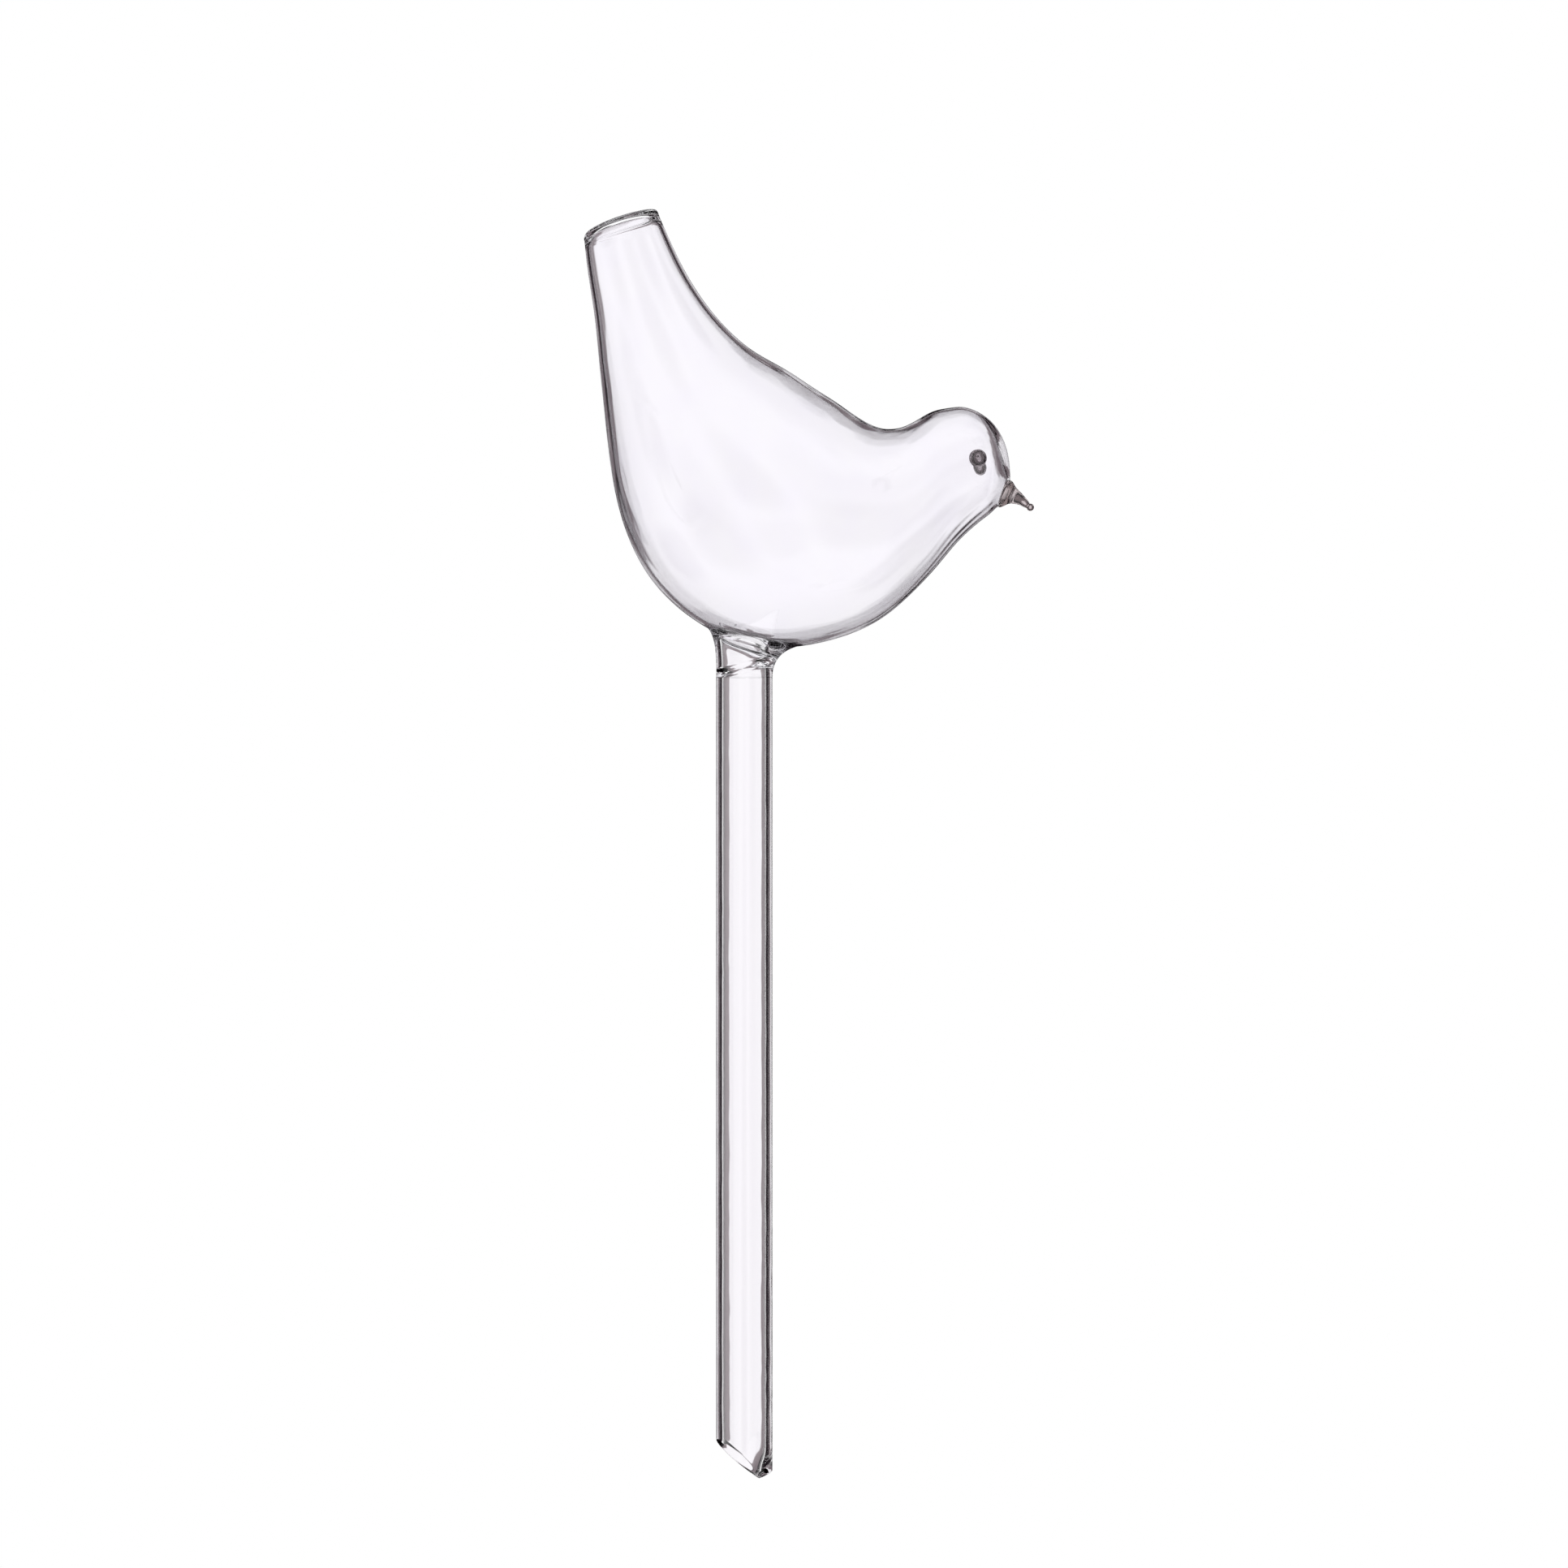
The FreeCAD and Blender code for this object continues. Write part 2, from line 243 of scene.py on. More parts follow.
# %% [markdown]
# ## The glass
# All of it is borosilicate glass with an index of refraction of 1.47. What tells one piece from another is
# how it was worked: blown glass has long soft waves, drawn tube has fine lines along its length, and a melted
# drop has short ones. The waves could be pushed into the mesh, but they are only some hundredths of a
# millimetre deep, so bump shows them as well and keeps the meshes light. A faint lavender tint builds up
# where a ray crosses several walls.

# %% Glass worked in the flame
BOROSILICATE_IOR = 1.47
FIRE_POLISHED = 0.0  # roughness, because the flame leaves no scratch


def bare_material(name):
    """A new material and its node tree, emptied."""
    material = bpy.data.materials.new(name)
    material.use_nodes = True
    material.node_tree.nodes.clear()
    return material, material.node_tree


def flame_glass(name, pale, deep, wave_mm, depth_mm, stretch=1.0):
    """Glass with soft waves between a pale and a deep tint. Stretch draws them out along the tube's axis."""
    material, tree = bare_material(name)
    place = add_node(tree, "ShaderNodeTexCoord").outputs["Object"]
    drawn = add_node(tree, "ShaderNodeMapping", {"Vector": place, "Scale": (1, 1, 1 / stretch)}).outputs[0]
    waves = add_node(
        tree,
        "ShaderNodeTexNoise",
        {"Vector": drawn, "Scale": 1 / (wave_mm * MM), "Detail": 2.0, "Roughness": 0.4},
    )
    relief = add_node(tree, "ShaderNodeBump", {"Height": waves.outputs["Fac"], "Distance": depth_mm * MM})
    mix = {FACTOR: waves.outputs["Fac"], COLOUR_A: linear(pale), COLOUR_B: linear(deep)}
    tint = add_node(tree, "ShaderNodeMix", mix, data_type="RGBA")
    glass = add_node(
        tree,
        "ShaderNodeBsdfPrincipled",
        {
            "Base Color": tint.outputs[MIXED],
            "Roughness": FIRE_POLISHED,
            "IOR": BOROSILICATE_IOR,
            "Transmission Weight": 1.0,
            "Normal": relief.outputs[0],
        },
    )
    add_node(tree, "ShaderNodeOutputMaterial", {"Surface": glass.outputs[0]})
    return material


# %% The finishes
# Blown glass is nearly colourless, and its long waves make the dark outlines swim a little.
blown_glass = flame_glass("borosilicate_blown", WHITE, "#fcfbff", wave_mm=9.0, depth_mm=0.01)
# Drawn tube has fine lines along its length, so its dark edges run straight and crisp.
tube_glass = flame_glass(
    "borosilicate_drawn_tube", WHITE, "#fdfcfe", wave_mm=2.5, depth_mm=0.004, stretch=30.0
)
# The melted drop's tint is darker than the thin walls': painted shade, for the dark that its solid cone bends
# in from around it.
drop_glass = flame_glass("borosilicate_melted_drop", "#d9d0d0", "#b3a7a6", wave_mm=2.0, depth_mm=0.02)
# A smoked bead has short, deep waves that break up what shines through: dark, with a light middle.
eye_glass = flame_glass("borosilicate_smoked_bead", "#b9b0b4", "#6f666a", wave_mm=0.8, depth_mm=0.07)
print("finishes:", [finish.name for finish in (blown_glass, tube_glass, drop_glass, eye_glass)])

# %% Glass that has run together
# Where two pieces are fused there is no surface left between them, so the faces that touch let light
# straight on.
fused_seam, seam_tree = bare_material("fused_glass_seam")
straight_on = add_node(seam_tree, "ShaderNodeBsdfTransparent")
add_node(seam_tree, "ShaderNodeOutputMaterial", {"Surface": straight_on.outputs[0]})
print("laid where glass has run into glass:", fused_seam.name)

# %% [markdown]
# ## The bird's body
# The body is blown from one piece of tube, so every cross-section is round. The outer skin runs smoothly
# through the sections. A Solidify modifier could give it a wall of one thickness, but a blown wall changes
# along the bird, and it is thicker at the forehead and in the tail's closed corner, where the glass gathered.
# So the inner skin is set in point by point, square to the outer one.

# %% The outer skin
AROUND = 208
ROWS = 196
turns = np.linspace(0, 2 * math.pi, AROUND, endpoint=False)


def side_points(shares):
    """Points of the side view in metres, from shares of the bird's length and height."""
    x = BODY_LENGTH * (shares[:, 0] - SEAT_SHARE)
    z = BODY_LOW + BODY_HEIGHT * shares[:, 1]
    return np.stack([x, z], axis=1)


section_table = np.array(SECTION_SHARES)
bellies = side_points(section_table[:, 0:2])
backs = side_points(section_table[:, 2:4])
middles = (bellies + backs) / 2
halves = (backs - bellies) / 2
radii = np.linalg.norm(halves, axis=1)
stations = np.concatenate([[0], np.cumsum(np.linalg.norm(np.diff(middles, axis=0), axis=1))])


def skin_rows(where):
    """Round rows of the outer skin at places along the bird. Column 0 is on its back."""
    line = smooth_through(np.column_stack([middles, halves, radii]), stations, where)
    x = line[:, 0:1] + line[:, 2:3] * np.cos(turns)
    z = line[:, 1:2] + line[:, 3:4] * np.cos(turns)
    y = line[:, 4:5] * np.sin(turns)
    return np.stack([x, y, z], axis=2)


along = np.linspace(0, stations[-1], ROWS)
outer = skin_rows(along)
print("length along the bird in mm:", round(stations[-1] / MM, 1))


# %% Normals of a grid
def grid_normals(rows):
    """Unit normals of a grid of rows that point away from the middles of the rows."""
    lengthwise = np.gradient(rows, axis=0)
    sideways = np.roll(rows, -1, axis=1) - np.roll(rows, 1, axis=1)
    normal = np.cross(sideways, lengthwise)
    normal /= np.linalg.norm(normal, axis=2, keepdims=True)
    outward = np.sum(normal * (rows - rows.mean(axis=1, keepdims=True)), axis=2).mean() > 0
    return normal if outward else -normal


# %% The inner skin
# The wall and the glass gathered at the forehead are given at each section, from the tail to the face.
WALL_MM = [0.75, 0.8, 0.85, 0.9] + [1.0] * 5 + [0.9] * 3 + [0.85, 0.75, 0.65, 0.55, 0.55, 0.6, 0.6]
FOREHEAD_MM = [0.0] * 16 + [0.2, 0.35, 0.15]
TAIL_GATHER_MM = 0.3  # more glass in the corner where the tail was closed
TAIL_GATHER_LENGTH = 0.8 * MM
FACE_ROWS = 14
FACE_BULGE = 0.35 * MM


def face_rows(last, bulge):
    """Rows that close the face from the root of the beak to its middle, bulging into the head."""
    middle = last.mean(axis=0)
    ahead = np.cross(last[AROUND // 4] - middle, last[0] - middle)
    ahead *= np.sign(ahead[0]) / np.linalg.norm(ahead)
    rows = []
    for step in range(1, FACE_ROWS + 1):
        share = 1 - step / (FACE_ROWS + 1)
        rows.append(middle + (last - middle) * share - ahead * bulge * (1 - share**2))
    return rows


def inner_skin(skin):
    """The hollow: the outer skin set in by the wall, measured square to the surface."""
    normal = grid_normals(skin)
    wall = smooth_through(np.array(WALL_MM)[:, None], stations, along)
    gather = smooth_through(np.array(FOREHEAD_MM)[:, None], stations, along)
    front = 0.5 + 0.5 * np.cos(turns)
    tail = TAIL_GATHER_MM * np.exp(-((along / TAIL_GATHER_LENGTH) ** 2))[:, None]
    return skin - normal * ((wall + gather * front**2 + tail) * MM)[:, :, None]


hollow = inner_skin(outer)
print("wall at the belly in mm:", round(np.linalg.norm(outer[ROWS // 2, 0] - hollow[ROWS // 2, 0]) / MM, 2))

# %% [markdown]
# ## Streaks and folds
# Blown glass is never quite even. Soft streaks run along the belly, and fine folds lie side by side along the
# breast. A Displace modifier would move both skins alike, and these marks sit on the inner skin only, so each
# of its points is moved by a noise and by a row of small waves.

# %% Streaks and folds left by the flame
STREAK_MM = 0.04  # depth of the streaks that run along the bird, where it is widest
WIDEST = 24 * MM
STREAK_WAVES = 7.0  # how tightly they stand around the bird
STREAK_LENGTH = 14 * MM
FOLD_MM = 0.08  # depth of the folds in the breast
FINE_SHARE, FINE_SCALE = 0.4, 2.3  # a second, finer layer of streaks
FRONT_GAIN = 3.5  # how much deeper the streaks are at the front of the belly
FOLD_SPACING = 2.7 * MM
BREAST_SECTION, FRONT_SECTION = 14, 11
MARK_LENGTH = 9 * MM  # how far the folds and the deeper streaks spread along the bird
STREAK_SPREAD, FOLD_SPREAD = 9 * MM, 7 * MM  # how far they spread round it from the middle of the belly


def flame_marks(rows):
    """Moves the inner skin by streaks, more at the front of the belly, and by folds along the breast."""
    normal = grid_normals(rows)
    radius = np.linalg.norm(rows - rows.mean(axis=1, keepdims=True), axis=2).mean(axis=1)
    for i, place in enumerate(along):
        breast = math.exp(-(((place - stations[BREAST_SECTION]) / MARK_LENGTH) ** 2))
        front = math.exp(-(((place - stations[FRONT_SECTION]) / MARK_LENGTH) ** 2))
        depth = STREAK_MM * min(1, radius[i] / WIDEST) ** 2
        for j, turn in enumerate(turns):
            arc = abs(turn - math.pi) * radius[i]
            coarse = Vector((math.cos(turn), math.sin(turn), 0)) * STREAK_WAVES
            coarse.z = place / STREAK_LENGTH
            streak = noise.noise(coarse) + FINE_SHARE * noise.noise(coarse * FINE_SCALE)
            streak *= 1 + FRONT_GAIN * front * math.exp(-((arc / STREAK_SPREAD) ** 2))
            fold = math.cos(2 * math.pi * arc / FOLD_SPACING) * math.exp(-((arc / FOLD_SPREAD) ** 2))
            rows[i, j] += normal[i, j] * (depth * streak + FOLD_MM * breast * fold) * MM
    return rows


even_hollow = hollow.copy()
hollow = flame_marks(hollow)
deepest = np.linalg.norm(hollow - even_hollow, axis=2).max()
print("deepest mark in mm:", round(deepest / MM, 3))

# %% Join the two skins
# The rows run down the outside from the middle of the face to the tail, over the edge and back up the inside.
outer = np.concatenate([outer, face_rows(outer[-1], 0)])
hollow = np.concatenate([hollow, face_rows(hollow[-1], FACE_BULGE)])
body_rows = np.concatenate([outer[::-1], hollow])
end_strip = len(outer) - 1
bird_body = mesh_from_rows("bird_body_glass", body_rows, fused=(end_strip,))

# %% [markdown]
# ## The port
# The tube opens into the belly, so the body has a round hole there as wide as the bore. The hole could be
# left out of the grid, but the grid's rows and columns run across it at a slant. A cylinder cut is the plain
# way, and Blender's exact solver keeps both skins closed around the hole.


# %% Cut the port
def cut_port(piece, radius, low, high):
    """Cuts a round hole along the tube's axis between two heights."""
    mesh = bpy.data.meshes.new("port_tool")
    tool_shape = bmesh.new()
    bmesh.ops.create_cone(
        tool_shape, cap_ends=True, segments=AROUND, radius1=radius, radius2=radius, depth=high - low
    )
    bmesh.ops.translate(tool_shape, verts=tool_shape.verts, vec=(0, 0, (high + low) / 2))
    tool_shape.to_mesh(mesh)
    tool_shape.free()
    tool = put_in_scene("port_tool", mesh)
    hole = piece.modifiers.new("port", "BOOLEAN")
    hole.operation = "DIFFERENCE"
    hole.solver = "EXACT"
    hole.object = tool
    ready = piece.evaluated_get(bpy.context.evaluated_depsgraph_get())
    cut_mesh = bpy.data.meshes.new_from_object(ready)
    piece.modifiers.remove(hole)
    bpy.data.objects.remove(tool)
    piece.data = cut_mesh
    print("faces after the cut:", len(cut_mesh.polygons))


PORT_TOP = BODY_LOW + 8 * MM  # well inside the hollow
cut_port(bird_body, BORE_RADIUS, TUBE_TOP, PORT_TOP)


# %% Where other glass is fused on
def fuse_under(piece, covered):
    """Marks the faces of a piece that the test says are covered by other glass."""
    count = 0
    for face in piece.data.polygons:
        if covered(face.center, face.normal):
            face.material_index = FUSED_SEAM
            count += 1
    print(piece.name, "faces under other glass:", count)


def skin_tree():
    """The body's skin as a tree that rays can be cast at."""
    points = [vertex.co.copy() for vertex in bird_body.data.vertices]
    faces = [tuple(face.vertices) for face in bird_body.data.polygons]
    return BVHTree.FromPolygons(points, faces)


# %% [markdown]
# ## The tail's end
# The tail is closed by a disc of glass melted on flat. A bevelled cylinder could stand for it, but the flame
# rounded its rear edge more than its front edge, so the disc is a stack of round rows whose two ends draw in
# by different amounts as they rise. The bird's bore runs a little way up into the disc and ends in a flat
# ceiling with a round corner, and that corner draws the thick dark line.

# %% The closing disc
CAP_ROWS_MM = [  # height above the tail's end, then how far the rear and the front edge have drawn in
    (0.0, 0.0, 0.0),
    (0.5, 0.05, 0.0),
    (1.0, 0.35, 0.03),
    (1.4, 0.8, 0.1),
    (1.65, 1.5, 0.25),
    (1.8, 2.4, 0.6),
    (1.87, 3.6, 1.3),
    (1.9, 5.5, 3.0),
]
CEILING_ROWS = [  # share of the bore, height in mm
    (0.04, 1.12),
    (0.4, 1.12),
    (0.7, 1.1),
    (0.84, 1.05),
    (0.885, 0.98),
    (0.925, 0.83),
    (0.96, 0.62),
    (0.985, 0.37),
    (1.0, 0.12),
]


def smooth_rows(rows, steps):
    """More rows between the given ones, on smooth lines."""
    rows = np.asarray(rows)
    count = len(rows)
    flat = rows.reshape(count, -1)
    knots = np.concatenate([[0], np.cumsum(np.linalg.norm(np.diff(rows[:, 0], axis=0), axis=1))])
    where = np.interp(np.linspace(0, count - 1, (count - 1) * steps + 1), range(count), knots)
    return smooth_through(flat, knots, where).reshape(len(where), -1, 3)


def tail_cap():
    """The closing disc, from the ceiling of the bore out and up over its rounded edge."""
    belly, top = np.insert(bellies[0], 1, 0), np.insert(backs[0], 1, 0)
    across = (top - belly) / np.linalg.norm(top - belly)
    upward = np.array([-across[2], 0, across[0]])
    rows = []
    for height, rear, front in CAP_ROWS_MM:
        rear_end = belly + across * rear * MM
        front_end = top - across * front * MM
        middle, radius = (rear_end + front_end) / 2, np.linalg.norm(front_end - rear_end) / 2
        row = [
            middle + radius * (across * math.cos(turn) + np.array([0, 1, 0]) * math.sin(turn))
            for turn in turns
        ]
        rows.append(np.array(row) + upward * height * MM)
    bore = hollow[0]
    ceiling = []
    for share, height in CEILING_ROWS:
        ceiling.append(bore.mean(axis=0) * (1 - share) + bore * share + upward * height * MM)
    cap_rows = np.concatenate([ceiling, [bore], smooth_rows(rows, steps=4)])
    return mesh_from_rows("tail_cap_glass", cap_rows, fused=(len(ceiling),))


tail_glass = tail_cap()

# %% [markdown]
# ## The beak
# A drop of glass is touched to the face and drawn out, which leaves a hollow-sided cone and a small ball
# where the thread of glass broke off. A cone and a sphere could be joined, but a seam between them would show
# in clear glass, so one run of round rows goes from the root to the ball. The root is as wide as the face and
# sinks a little into it.

# %% The beak
BEAK_REACH = 5.5 * MM
BEAK_DROP = 2.9 * MM
BALL_RADIUS = 0.8 * MM
BEAK_SHARES = [  # forward, down and radius as shares of reach, drop and root, and the lean in degrees
    (0.26, 0.12, 0.70, 65.5),
    (0.50, 0.32, 0.47, 60.0),
    (0.72, 0.58, 0.32, 56.0),
    (0.86, 0.80, 0.25, 56.0),
]
BEAK_SEAT_MM = ((0.55, 0.05), (0.52, 0.35), (0.42, 0.65), (0.24, 0.9))  # depth, share of the root
BALL_BENDS = (125, 105, 85, 65, 45, 25, 8)  # where the ball's rows stand, in degrees from its far end


def leaning_row(middle, lean, radius):
    """A round row about a middle whose back edge stands at this angle."""
    toward = np.array([math.cos(lean), 0, math.sin(lean)])
    aside = np.array([0, 1, 0])
    return np.array([middle + radius * (toward * math.cos(t) + aside * math.sin(t)) for t in turns])


def drawn_beak():
    """The beak as one run of rows: its seat in the face, the hollow-sided cone and the ball."""
    root = np.insert(middles[-1], 1, 0)
    lean = math.atan2(halves[-1][1], halves[-1][0])
    ahead = np.array([math.sin(lean), 0, -math.cos(lean)])
    rows = []
    for inset, share in BEAK_SEAT_MM:
        rows.append(leaning_row(root - ahead * inset * MM, lean, radii[-1] * share))
    rows.append(leaning_row(root, lean, radii[-1]))
    for reach, drop, radius, tilt in BEAK_SHARES:
        middle = root + np.array([BEAK_REACH * reach, 0, -BEAK_DROP * drop])
        rows.append(leaning_row(middle, math.radians(tilt), radii[-1] * radius))
    ball = root + np.array([BEAK_REACH, 0, -BEAK_DROP])
    tilt = math.radians(BEAK_SHARES[-1][3])
    on = np.array([math.sin(tilt), 0, -math.cos(tilt)])
    for degrees in BALL_BENDS:
        bend = math.radians(degrees)
        middle = ball + on * BALL_RADIUS * math.cos(bend)
        rows.append(leaning_row(middle, tilt, BALL_RADIUS * math.sin(bend)))
    return mesh_from_rows("beak_glass", smooth_rows(rows, steps=5))


beak_glass = drawn_beak()

# %% [markdown]
# ## The eyes
# Each eye is one bead, melted on to the side of the head. A sphere sunk into the head would lack the bead's
# rounded foot, so its mesh is a profile turned about the line that stands square on the head. A ray cast from
# the side finds where that line starts.

# %% The eyes
BEAD_PROFILE_MM = [  # radius and height above the head's skin
    (0.3, -1.35),
    (0.9, -1.2),
    (1.4, -0.85),
    (1.72, -0.4),
    (1.86, 0.1),
    (1.86, 0.65),
    (1.7, 1.15),
    (1.35, 1.55),
    (0.85, 1.82),
    (0.3, 1.9),
]
BEAD_TURNS = turns[::4]  # a bead is small, so a quarter of the columns will do
BEAD_FUSED_RADIUS = 1.75 * MM
BESIDE_THE_BIRD = 40 * MM  # past its widest place


def eye_bead(name, node):
    """One bead, square on the head's skin at the place of its solid."""
    low, high = (np.array(corner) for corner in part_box(node))
    side = 1 if (low + high)[1] > 0 else -1
    seat = (low + high) / 2
    skin = skin_tree()
    start = Vector((seat[0], side * BESIDE_THE_BIRD, seat[2]))
    foot, normal, _, _ = skin.ray_cast(start, Vector((0, -side, 0)))
    turn_to = normal.to_track_quat("Z", "Y")
    rows = []
    for radius, height in BEAD_PROFILE_MM:
        row = [Vector((radius * math.cos(t), radius * math.sin(t), height)) * MM for t in BEAD_TURNS]
        rows.append([foot + turn_to @ point for point in row])
    fuse_under(bird_body, lambda centre, _: (centre - foot).length < BEAD_FUSED_RADIUS)
    return mesh_from_rows(name, smooth_rows(np.array(rows), steps=4))


right_bead = eye_bead("right_eye_bead", "right_eye")
left_bead = eye_bead("left_eye_bead", "left_eye")

# %% [markdown]
# ## The weld
# Where the tube joins the belly, the glassworker melted a collar that flares up the belly, more towards the
# front than towards the tail. A bevel along the joint would be equally wide all round, so the collar is built
# column by column. Its outside is a hollow curve from the tube to the belly's skin, and a ray cast upwards
# finds the height at which each point of its edge meets that skin.

# %% The collar between tube and belly
FUSED = 0.15 * MM  # how far the weld reaches into the body, so that no air is left between them
BELOW_THE_BELLY = TUBE_TOP - 5 * MM  # where the rays start
RIM_CLEARANCE = 0.2 * MM  # outside the port's edge, so that the ray meets the skin
SPREAD_REAR = 8.7 * MM
SPREAD_FRONT = 12.6 * MM
SPREAD_SIDE = 9.6 * MM
WAIST_DRAW = 0.35 * MM  # how far the rear of the collar draws in
KNEE_DROP = 1.2 * MM  # how far below its edge the hollow curve bends
WELD_CURVE_ROWS = 16
BORE_ROWS = 24
SHOULDER_SLOPE = 0.24  # the ring inside the bore stands higher at the front
SHOULDER_START = 0.8 * MM
SHOULDER_DEPTH = 0.9 * MM
SHOULDER_WIDTH = 0.6 * MM
SHOULDER_SIDE_SHARE = 0.4  # its depth at the sides, as a share of that at front and rear
SHOULDER_FADE_SHARE = 1 / 8  # the part of the bore's height in which the ring grows from nothing


def edge_reach(turn):
    """How far from the axis the weld runs out on the belly."""
    forward = math.cos(turn)
    end = SPREAD_FRONT if forward > 0 else SPREAD_REAR
    return SPREAD_SIDE + (end - SPREAD_SIDE) * forward * forward


def weld_bore(turn, share, top):
    """The bore's radius and height in the weld: as wide as the tube's, with a melted ring inside."""
    height = TUBE_TOP + (top - TUBE_TOP) * share
    ring = TUBE_TOP + SHOULDER_START + SHOULDER_SLOPE * TUBE_RADIUS * (1 + math.cos(turn))
    depth = SHOULDER_DEPTH * (SHOULDER_SIDE_SHARE + (1 - SHOULDER_SIDE_SHARE) * math.cos(turn) ** 2)
    narrow = depth * math.exp(-(((height - ring) / SHOULDER_WIDTH) ** 2))
    return BORE_RADIUS - narrow * min(1, share / SHOULDER_FADE_SHARE), height


def belly_height(skin, out, reach):
    """The height of the belly's skin this way out from the axis and this far."""
    start = out * reach + Vector((0, 0, BELOW_THE_BELLY))
    return skin.ray_cast(start, Vector((0, 0, 1)))[0].z


def neck_weld():
    """The collar, column by column: up its hollow outside, over its edge and back down the bore."""
    skin = skin_tree()
    columns = []
    for turn in turns:
        out = Vector((math.cos(turn), math.sin(turn), 0))
        spread = edge_reach(turn)
        edge = belly_height(skin, out, spread)
        rim = belly_height(skin, out, BORE_RADIUS + RIM_CLEARANCE)
        top = edge + FUSED
        waist = TUBE_RADIUS - (WAIST_DRAW * math.cos(turn) ** 2 if math.cos(turn) < 0 else 0)
        middle = out * (spread + TUBE_RADIUS) / 2
        column = [middle + Vector((0, 0, (rim + edge) / 2 + 2 * FUSED))]
        for step in range(WELD_CURVE_ROWS + 1):
            t = 1 - step / WELD_CURVE_ROWS
            low, knee, high = (TUBE_RADIUS, TUBE_TOP), (waist, top - KNEE_DROP), (spread, top)
            r, z = ((1 - t) ** 2 * a + 2 * t * (1 - t) * b + t * t * c for a, b, c in zip(low, knee, high))
            column.append(out * r + Vector((0, 0, z)))
        for step in range(BORE_ROWS + 1):
            radius, height = weld_bore(turn, step / BORE_ROWS, rim + FUSED)
            column.append(out * radius + Vector((0, 0, height)))
        columns.append(column)
    rows = np.array(columns).transpose(1, 0, 2)
    seams = (0, WELD_CURVE_ROWS + 1, len(rows) - 1)
    return mesh_from_rows("neck_weld_glass", rows, ring=True, fused=seams)


EDGE_MARGIN, PORT_MARGIN = 0.5 * MM, 0.02 * MM
FACES_DOWN = -0.5  # the most that the normal of such a face may rise


def under_weld(centre, normal):
    """True for the belly's outer faces that the weld covers."""
    reach = math.hypot(centre.x, centre.y)
    within_edge = reach < edge_reach(math.atan2(centre.y, centre.x)) - EDGE_MARGIN
    past_port = reach > BORE_RADIUS + PORT_MARGIN
    return within_edge and past_port and normal.z < FACES_DOWN and centre.z < PORT_TOP


weld_glass = neck_weld()
fuse_under(bird_body, under_weld)

# %% [markdown]
# ## The tube
# The tube is stock glass tube, cut on a slant and melted round at the cut. It follows a rule: one wall
# section carried round the axis. The grid helper could make it too, but Geometry Nodes keep the rule open,
# with a named input for each size. The section is a row of points, each with its radius, its share of the
# height and a small local rise for the melted rims. The nodes wrap a grid round the axis, read the section
# for each row, slant the lower end, and lay slow ripples on the bore, because only the inside of a drawn
# tube stays uneven.

# %% The wall's section
EDGE_STEPS = 5
OUTER_ROUND = 0.22 * MM  # how far the flame rounded the rims of the cut
INNER_ROUND = 0.3 * MM
FLAT_STEPS = 4
WALL_STEPS = 200


def wall_section():
    """Points of the wall's section: radius, share of the height, and local rise at the melted rims."""
    points = []
    for step in range(WALL_STEPS + 1):
        points.append((TUBE_RADIUS, 1 - step / WALL_STEPS, OUTER_ROUND * step / WALL_STEPS))
    for step in range(1, EDGE_STEPS):
        bend = math.radians(90 * step / EDGE_STEPS)
        inwards, rise = OUTER_ROUND * (1 - math.cos(bend)), OUTER_ROUND * (1 - math.sin(bend))
        points.append((TUBE_RADIUS - inwards, 0, rise))
    for step in range(FLAT_STEPS + 1):
        flat = (TUBE_WALL - OUTER_ROUND - INNER_ROUND) * step / FLAT_STEPS
        points.append((TUBE_RADIUS - OUTER_ROUND - flat, 0, 0))
    for step in range(1, EDGE_STEPS):
        bend = math.radians(90 * step / EDGE_STEPS)
        outwards, rise = INNER_ROUND * (1 - math.sin(bend)), INNER_ROUND * (1 - math.cos(bend))
        points.append((BORE_RADIUS + outwards, 0, rise))
    for step in range(WALL_STEPS + 1):
        points.append((BORE_RADIUS, step / WALL_STEPS, INNER_ROUND * (1 - step / WALL_STEPS)))
    mesh = bpy.data.meshes.new("wall_section")
    mesh.from_pydata(points, [(n, n + 1) for n in range(len(points) - 1)], [])
    return mesh


section_mesh = wall_section()
print("points in the section:", len(section_mesh.vertices))

# %% The inputs of the tube
TUBE_INPUTS = (
    ("Outer Radius", TUBE_RADIUS),
    ("Wall", TUBE_WALL),
    ("Top", TUBE_TOP),
    ("Slant", math.tan(math.radians(38))),
    ("Tip Slope", math.tan(math.radians(20))),
    ("Tip Reach", 9.58 * MM),
    ("Tip Softness", 0.5 * MM),
    ("Ripple Depth", 0.07 * MM),
    ("Ripple Length", 7 * MM),
    ("Tip Gather", 0.9 * MM),
    ("Heel Gather", 0.05 * MM),
    ("Gather Length", 3.0 * MM),
)
TUBE_COLUMNS = 120
print("sizes that the tube's tree takes:", len(TUBE_INPUTS))


def tube_inputs(tree):
    """Gives the tree its named inputs and returns the sockets that carry them."""
    face = tree.interface
    face.new_socket("Geometry", in_out="OUTPUT", socket_type="NodeSocketGeometry")
    face.new_socket("Section", in_out="INPUT", socket_type="NodeSocketGeometry")
    for name, value in TUBE_INPUTS:
        face.new_socket(name, in_out="INPUT", socket_type="NodeSocketFloat").default_value = value
    face.new_socket("Around", in_out="INPUT", socket_type="NodeSocketInt").default_value = TUBE_COLUMNS
    face.new_socket("Material", in_out="INPUT", socket_type="NodeSocketMaterial")
    return add_node(tree, "NodeGroupInput").outputs


# %% The node tree that wraps the section
MATH = "ShaderNodeMath"


